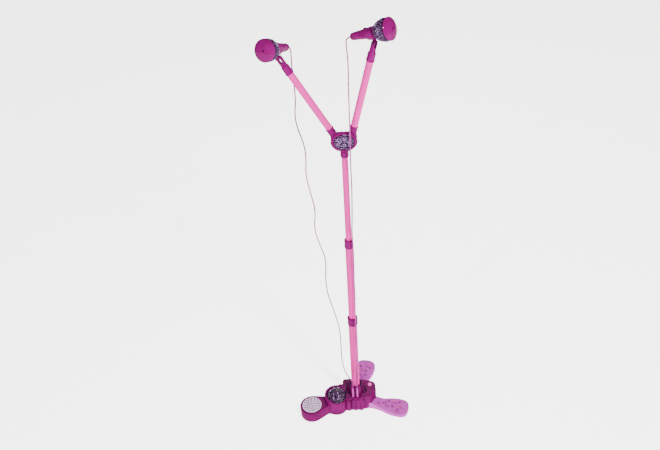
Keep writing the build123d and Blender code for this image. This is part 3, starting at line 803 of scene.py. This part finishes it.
def light_dome():
    """A clear cap over a dark bowl with lamps, under a lattice of dark and silver curls."""
    low, high = [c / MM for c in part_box("light_dome")]
    middle = Vector(((low.x + high.x) / 2, (low.y + high.y) / 2, low.z))
    radius, rise = (high.x - low.x) / 2, high.z - low.z
    at = Matrix.Translation(middle)
    ball = (radius**2 + rise**2) / (2 * rise)

    def arch(reach, shrink=0.0):
        """Height of the cap over its rim, a distance from its axis."""
        return math.sqrt(max((ball - shrink) ** 2 - reach**2, 0)) - ball + rise

    steps, wall = 16, 1.8
    reaches = [radius * math.sin(math.pi / 2 * (1 - k / steps)) for k in range(steps + 1)]
    outer = [(r, max(arch(r), 0)) for r in reaches]
    inner_edge = math.sqrt((ball - wall) ** 2 - (ball - rise) ** 2)
    reaches = [inner_edge * math.sin(math.pi / 2 * k / steps) for k in range(steps + 1)]
    inner = [(r, max(arch(r, wall), 0)) for r in reaches]
    cap = spun("light_dome_cap", outer + inner, at, corner=0.05, around=96)
    dressed(cap, CLEAR, "base", "light_dome")

    def on_cap(x, y):
        reach = min(math.hypot(x, y), radius - 1)
        point = middle + Vector((x, y, arch(reach)))
        return point, (point - middle - Vector((0, 0, rise - ball))).normalized()

    def over(flat, width, high, closed=False, taper=0.0):
        hits = [on_cap(x, y) for x, y in flat]
        return bead([p for p, _ in hits], [n for _, n in hits], width, high, closed, taper)

    dark, bright = [], []
    for reach, width in ((radius - 1.4, 2.6), (15.0, 1.4)):
        hoop = [(reach * math.cos(a), reach * math.sin(a)) for a in turn_angles(72)]
        dark.append(over(hoop, width, 0.7, closed=True))
    for k, a in enumerate(turn_angles(8)):
        hand = 1 if k % 2 else -1
        large = scroll((20.5 * math.cos(a), 20.5 * math.sin(a)), 5.2, 1.3, a + 2.4, hand)
        dark.append(over(large, 2.0, 0.7, taper=0.2))
        b = a + math.pi / 8
        small = scroll((23 * math.cos(b), 23 * math.sin(b)), 3.4, 1.1, b, -hand)
        bright.append(over(small, 0.8, 0.6, taper=0.2))
    dressed(joined_beads("light_dome_lattice", dark), VIOLET, "base")
    dressed(joined_beads("light_dome_curls", bright), SILVER, "base")

    bowl = [(0, -3.6), (8, -3.6), (radius - 7.5, -2.6), (radius - 4.5, -0.2), (radius - 4.5, -0.9),
            (radius - 6.8, -3.3), (8, -4.2), (0, -4.2)]

    def facets(angle, reach, height):
        return 0.5 * math.cos(12 * angle) if 9 < reach < radius - 6 else 0.0

    dressed(spun("light_dome_bowl", bowl, at, corner=0.2, around=96, wave=facets), VIOLET, "base")


def lamps():
    """A ring of clear lamps under the dome."""
    low, high = [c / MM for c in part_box("leds")]
    dome_low, dome_high = [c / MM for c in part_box("light_dome")]
    x, y = (dome_low.x + dome_high.x) / 2, (dome_low.y + dome_high.y) / 2
    profile = [(0, low.z), (2.5, low.z), (2.5, low.z + 0.8), (2.2, low.z + 1.2),
               (2.2, high.z - 2.2), (1.9, high.z - 0.9), (1.1, high.z - 0.2), (0, high.z)]
    for k, angle in enumerate(turn_angles(LAMP_COUNT)):
        at = Matrix.Translation((x + LAMP_RING_R * math.cos(angle),
                                 y + LAMP_RING_R * math.sin(angle), 0))
        lamp = spun(f"lamp_{k + 1}", profile, at, corner=0.4, around=24)
        dressed(lamp, LAMP, "base", "leds")


def foot(name):
    """A paddle with a soft edge, raised curls and leaves and a scatter of small studs."""
    moulded(name, LILAC, voxel=0.9, rounds=5, keep=0.35)
    top = surface_of(name)
    bearing = FOOT_BEARINGS[name]
    c, s = math.cos(bearing), math.sin(bearing)

    def turned(flat):
        return [(u * c - v * s, u * s + v * c) for u, v in flat]

    relief = []
    for at, size, facing, hand in (((88, 4), 8, 0.4, 1), ((103, -7), 9, 2.4, -1),
                                   ((121, 6), 11, 4.0, 1), ((139, -8), 9, 1.0, -1),
                                   ((74, -5), 6, 3.2, 1)):
        curl = turned(scroll(at, size, 1.25, facing, hand))
        relief.append(draped(top, curl, 2.1, 0.6, taper=0.25))
    for at, long, facing in (((96, 9), 12, 0.5), ((112, -3), 13, -0.6), ((130, 14), 11, 0.2),
                             ((128, -16), 11, -0.3)):
        relief.append(draped(top, turned(leaf(at, long, 5, facing)), 1.7, 0.55, closed=True))
    relief = [line for line in relief if line]
    dressed(joined_beads(f"{name}_relief", relief), LILAC_RELIEF, "base")
    random.seed(7)
    studs = []
    for _ in range(46):
        u, v = random.uniform(92, 158), random.uniform(-24, 24)
        if (u - 130) ** 2 / 30**2 + v**2 / 24**2 > 1:
            continue
        flat = turned([(u + 0.8 * math.cos(a), v + 0.8 * math.sin(a)) for a in turn_angles(8)])
        stud = draped(top, flat, 1.9, 0.6, closed=True)
        if stud:
            studs.append(stud)
    dressed(joined_beads(f"{name}_studs", studs), LILAC_DOT, "base")


def base():
    moulded("base_top_shell", BODY, voxel=0.85, rounds=4, keep=0.35)
    base_wings()
    front_columns()
    grille()
    light_dome()
    lamps()
    foot("right_foot")
    foot("rear_foot")
    moulded("power_button", ROSE, voxel=0.35, rounds=3, keep=0.5)


# ---- mast ----


def collar(node, above_r, below_r):
    """A twist ring with rounded lips and shallow finger flutes."""
    low, high = [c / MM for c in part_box(node)]
    outer = (high.x - low.x) / 2
    lip = high.z - 9
    profile = [(below_r, low.z), (outer - 0.6, low.z), (outer, low.z + 2.2),
               (outer - 0.5, low.z + 4), (outer - 0.5, high.z - 4), (outer, high.z - 2.2),
               (outer - 0.6, high.z), (above_r, high.z), (above_r, lip), (below_r, lip)]

    def flutes(angle, radius, height):
        middle = low.z + 3.5 < height < high.z - 3.5 and radius > below_r + 1
        return 0.22 * math.cos(18 * angle) if middle else 0.0

    ring = spun(f"{node}_ring", profile, corner=0.7, around=144, wave=flutes)
    dressed(ring, MAGENTA, node, node)


def mast():
    collar("lower_collar", 10.3, 12.55)
    collar("upper_collar", 8.05, 10.3)


# ---- hub ----


def hub_neck():
    """The ribbed socket under the hub that grips the upper mast."""
    low, high = [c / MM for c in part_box("hub_socket")]
    outer = (high.x - low.x) / 2
    profile = [(8.0, low.z), (outer, low.z)]
    for k in range(4):
        foot = low.z + 1.2 + 4.4 * k
        profile += [(outer, foot), (outer + 0.7, foot + 0.7), (outer + 0.7, foot + 2.5),
                    (outer, foot + 3.2)]
    profile += [(outer, high.z), (8.0, high.z)]
    dressed(spun("hub_neck", profile, corner=0.35, around=72), MAGENTA, "upper_mast", "hub_socket")


def hub():
    for node in ("hub_front", "hub_rear"):
        moulded(node, MAGENTA, voxel=0.5, rounds=4, keep=0.4)
    hub_neck()
    low, high = [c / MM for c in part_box("hub_plate")]
    middle = (low + high) / 2
    wide, tall = (high.x - low.x) / 2, (high.z - low.z) / 2
    front = Vector((0, -1, 0))

    around = 96

    def ellipse(half_wide, half_tall, y):
        return [Vector((middle.x + half_wide * math.cos(a), y, middle.z + half_tall * math.sin(a)))
                for a in turn_angles(around)]

    fronts = [front] * around
    rims = [bead(ellipse(wide + 2.2, tall + 2.2, high.y), fronts, 4.2, 1.9, closed=True),
            bead(ellipse(wide + 5.2, tall + 4.4, high.y), fronts, 1.6, 0.5, closed=True)]
    dressed(joined_beads("hub_rims", rims), MAGENTA, "upper_mast")

    rings, faces = [], []
    levels = [(1.0, high.y), (1.0, low.y + 0.9), (0.94, low.y + 0.35), (0.8, low.y + 0.12),
              (0.4, low.y)]
    for share, y in levels:
        rings += ellipse(wide * share, tall * share, y)
    last = (len(levels) - 1) * around
    for start in range(0, last, around):
        end = start + around
        for s in range(around):
            n = (s + 1) % around
            faces.append((start + s, start + n, end + n, end + s))
    faces += [range(around), range(last, last + around)]
    plate = tidy(solid("hub_plate_face", rings, faces))
    dressed(plate, PLATE, "upper_mast", "hub_plate")

    def on_plate(flat, width, rise, closed=False, taper=0.0):
        points = [Vector((middle.x + x, low.y + 0.15, middle.z + z)) for x, z in flat]
        return bead(points, [front] * len(points), width, rise, closed, taper)

    curls = []
    for at, size, facing, hand in (((-11, 4), 6.2, 0.6, 1), ((3, 7), 5.8, 2.6, -1),
                                   ((13, 0), 5.4, 4.4, 1), ((0, -6), 6.4, 5.4, -1),
                                   ((-14, -6), 4.6, 2.0, 1), ((12, -9), 3.8, 0.4, -1)):
        curls.append(on_plate(scroll(at, size, 1.35, facing, hand), 1.5, 0.75, taper=0.22))
    for at, long, facing in (((-19, 3), 8, 1.0), ((6, 0), 9, 0.3), ((-5, 12), 8, -0.4),
                             ((16, 6), 6, 2.0)):
        curls.append(on_plate(leaf(at, long, 3.6, facing), 1.0, 0.6, closed=True))
    dressed(joined_beads("hub_plate_curls", curls), SILVER, "upper_mast")


# ---- arms and clips ----


def arms():
    for side in SIDES:
        moulded(f"{side}_arm_socket", MAGENTA, voxel=0.4, rounds=3, keep=0.4)
        moulded(f"{side}_clip_socket", MAGENTA, voxel=0.35, rounds=3, keep=0.4)
        moulded(f"{side}_mic_cradle", MAGENTA, voxel=0.35, rounds=3, keep=0.4)


# ---- microphones ----


def mic_place(side):
    """A microphone's frame: Z along its axis, Y up from its clip, origin at its grip."""
    along = Vector(joints[f"{side}_mic_pull"]["axis"]).normalized()
    hinge = -Vector(joints[f"{side}_clip_tilt"]["axis"]).normalized()
    up = along.cross(hinge)
    pin = Vector(joints[f"{side}_clip_tilt"]["pos_m"]) / MM
    grip = pin + up * GRIP_ABOVE_PIN + along * GRIP_AHEAD
    place = Matrix((hinge, up, along)).transposed().to_4x4()
    place.translation = grip
    return place


def handle_radius(along):
    (tail, tail_r), (root, root_r) = HANDLE_TAIL, HANDLE_ROOT
    return tail_r + (root_r - tail_r) * (along - tail) / (root - tail)


# (radius, place along the microphone) of the patterned band. Points 1 to 7 are its outside.
BAND_PROFILE = [(12.4, 3), (17.0, 3), (19.4, 5.5), (21.8, 10), (23.6, 16), (24.7, 22), (25.0, 27),
                (24.7, BAND_END), (21, BAND_END), (19, 16), (12.4, 7)]
BAND_MEAN_R = 23


def band_radius(along):
    """The band's outer radius at a place along the microphone."""
    outer = [(u, r) for r, u in BAND_PROFILE[1:8]]
    for (u0, r0), (u1, r1) in zip(outer, outer[1:]):
        if u0 <= along <= u1:
            return r0 + (r1 - r0) * (along - u0) / (u1 - u0)
    return outer[-1][1]


def round_line(place, flat, radius_at, width, high, closed=False, taper=0.0):
    """A raised line on a round body. flat is a list of (angle, place along the axis)."""
    points, normals = [], []
    turn = place.to_3x3()
    for angle, along in flat:
        out = Vector((math.cos(angle), math.sin(angle), 0))
        points.append(place @ (out * radius_at(along) + Vector((0, 0, along))))
        normals.append((turn @ out).normalized())
    return bead(points, normals, width, high, closed, taper)


def mic(side):
    place = mic_place(side)
    body = f"{side}_mic"
    moulded(f"{side}_mic_handle", MIC, voxel=0.45, rounds=3, keep=0.4)
    moulded(f"{side}_mic_switch", BLACK, voxel=0.25, rounds=2, keep=0.5)

    band = spun(f"{side}_mic_band_ring", BAND_PROFILE, place, corner=0.8, around=128)
    dressed(band, BAND, body, f"{side}_mic_band")
    curls = []
    for k, around in enumerate(turn_angles(8)):
        centre = (around * BAND_MEAN_R, 17.0 + 4.0 * (-1) ** k)
        flat = scroll(centre, 6.0, 1.35, around + 1.7 * k, 1 if k % 2 else -1)
        flat = [(x / BAND_MEAN_R, min(max(y, 6), 29.5)) for x, y in flat]
        curls.append(round_line(place, flat, band_radius, 1.3, 0.6, taper=0.2))
        between = (around * BAND_MEAN_R + 7.5, 20 - 8.0 * (k % 2))
        oval = [(x / BAND_MEAN_R, y) for x, y in leaf(between, 5.5, 2.6, 0.8 * k)]
        curls.append(round_line(place, oval, band_radius, 0.8, 0.5, closed=True))
    dressed(joined_beads(f"{side}_mic_band_curls", curls), SILVER, body)

    ring = [(16, BAND_END), (RING_R, BAND_END), (RING_R + 0.5, BAND_END + 1.5),
            (RING_R, RING_END), (16, RING_END)]
    trim = spun(f"{side}_mic_ring_trim", ring, place, corner=0.5)
    dressed(trim, VIOLET, body, f"{side}_mic_ring")

    reaches = [HEAD_R * (1 - k / 14) for k in range(13)]
    outer = [(r, HEAD_POLE - HEAD_CROWN_R + math.sqrt(HEAD_CROWN_R**2 - r**2)) for r in reaches]
    inner = [(0.92 * r, h - 2) for r, h in reversed(outer)]
    head = [(HEAD_R - 3, RING_END), (HEAD_R - 0.8, RING_END), *outer, (2.3, HEAD_POLE - 0.1),
            (2.15, 44.0), (2.15, 43.0)]
    dome = spun(f"{side}_mic_head_dome", head + inner, place, corner=0.4, around=128)
    dressed(dome, MIC, body, f"{side}_mic_head")

    inside = [(0, 34), (6.5, 34), (6.5, 41.5), (0, 41.5)]
    can = spun(f"{side}_mic_capsule_can", inside, place, corner=0.5, around=48)
    dressed(can, BLACK, body, f"{side}_mic_capsule")

    relief = [(0, -74), (1.7, -74), (2.0, -73.2), (2.0, -72.4), (2.3, -72), (2.3, -71.2),
              (2.6, -70.4), (2.6, -70), (2.2, -70), (2.2, -67), (0, -67)]
    sleeve = spun(f"{side}_mic_tail_relief", relief, place, corner=0.15, around=32)
    dressed(sleeve, MAGENTA, body, f"{side}_mic_relief")
    handle_lines(side, place, body)


def handle_lines(side, place, body):
    """Raised lines on the handle: a frame round the switch, rings by the tail, two rosettes."""
    lines = []
    quarter = math.pi / 2
    oblong = []
    for a in turn_angles(48):
        u, v = 4.4 * math.cos(a), 17 * math.sin(a)
        u = math.copysign(min(abs(u) * 1.35, 4.4), u)
        v = math.copysign(min(abs(v) * 1.15, 17), v)
        along = SWITCH_AT - 3 + v
        oblong.append((quarter + u / handle_radius(along), along))
    lines.append(round_line(place, oblong, handle_radius, 0.8, 0.35, closed=True))
    for along in (-64.0, -61.0, -58.0):
        hoop = [(a, along) for a in turn_angles(64)]
        lines.append(round_line(place, hoop, handle_radius, 1.0, 0.3, closed=True))
    rosette_at = -6
    near_r = handle_radius(rosette_at)
    for sign in (-1, 1):
        centre = quarter + sign * 1.25
        for size in (3.2, 1.4):
            rosette = [(centre + size * math.cos(a) / near_r, rosette_at + size * math.sin(a))
                       for a in turn_angles(24)]
            lines.append(round_line(place, rosette, handle_radius, 0.9, 0.45, closed=True))
    dressed(joined_beads(f"{side}_mic_handle_lines", lines), MIC, body)


# ---- CAD pieces whose shape is kept ----

KEPT = {
    "base_bottom_plate": BODY, "battery_door": BODY, "batteries": CELL, "main_board": BOARD,
    "light_board": BOARD, "speaker_driver": CONE, "base_screws": METAL, "left_jack": BLACK,
    "right_jack": BLACK, "lower_tube": TUBE, "middle_tube": TUBE, "upper_tube": TUBE,
    "left_arm_tube": TUBE, "right_arm_tube": TUBE, "middle_bush": BLACK, "upper_bush": BLACK,
    "hub_screws": METAL, "arm_pivots": MAGENTA, "left_clip_pin": DARK_METAL,
    "right_clip_pin": DARK_METAL,
}


def kept_nodes():
    for node, material in KEPT.items():
        piece = frame["nodes"][node]
        finish(piece, material)


camera()
PLUGS = {side: plug(side) for side in SIDES}
cords()
studio()
floor()
base()
mast()
hub()
arms()
for side in SIDES:
    mic(side)
kept_nodes()
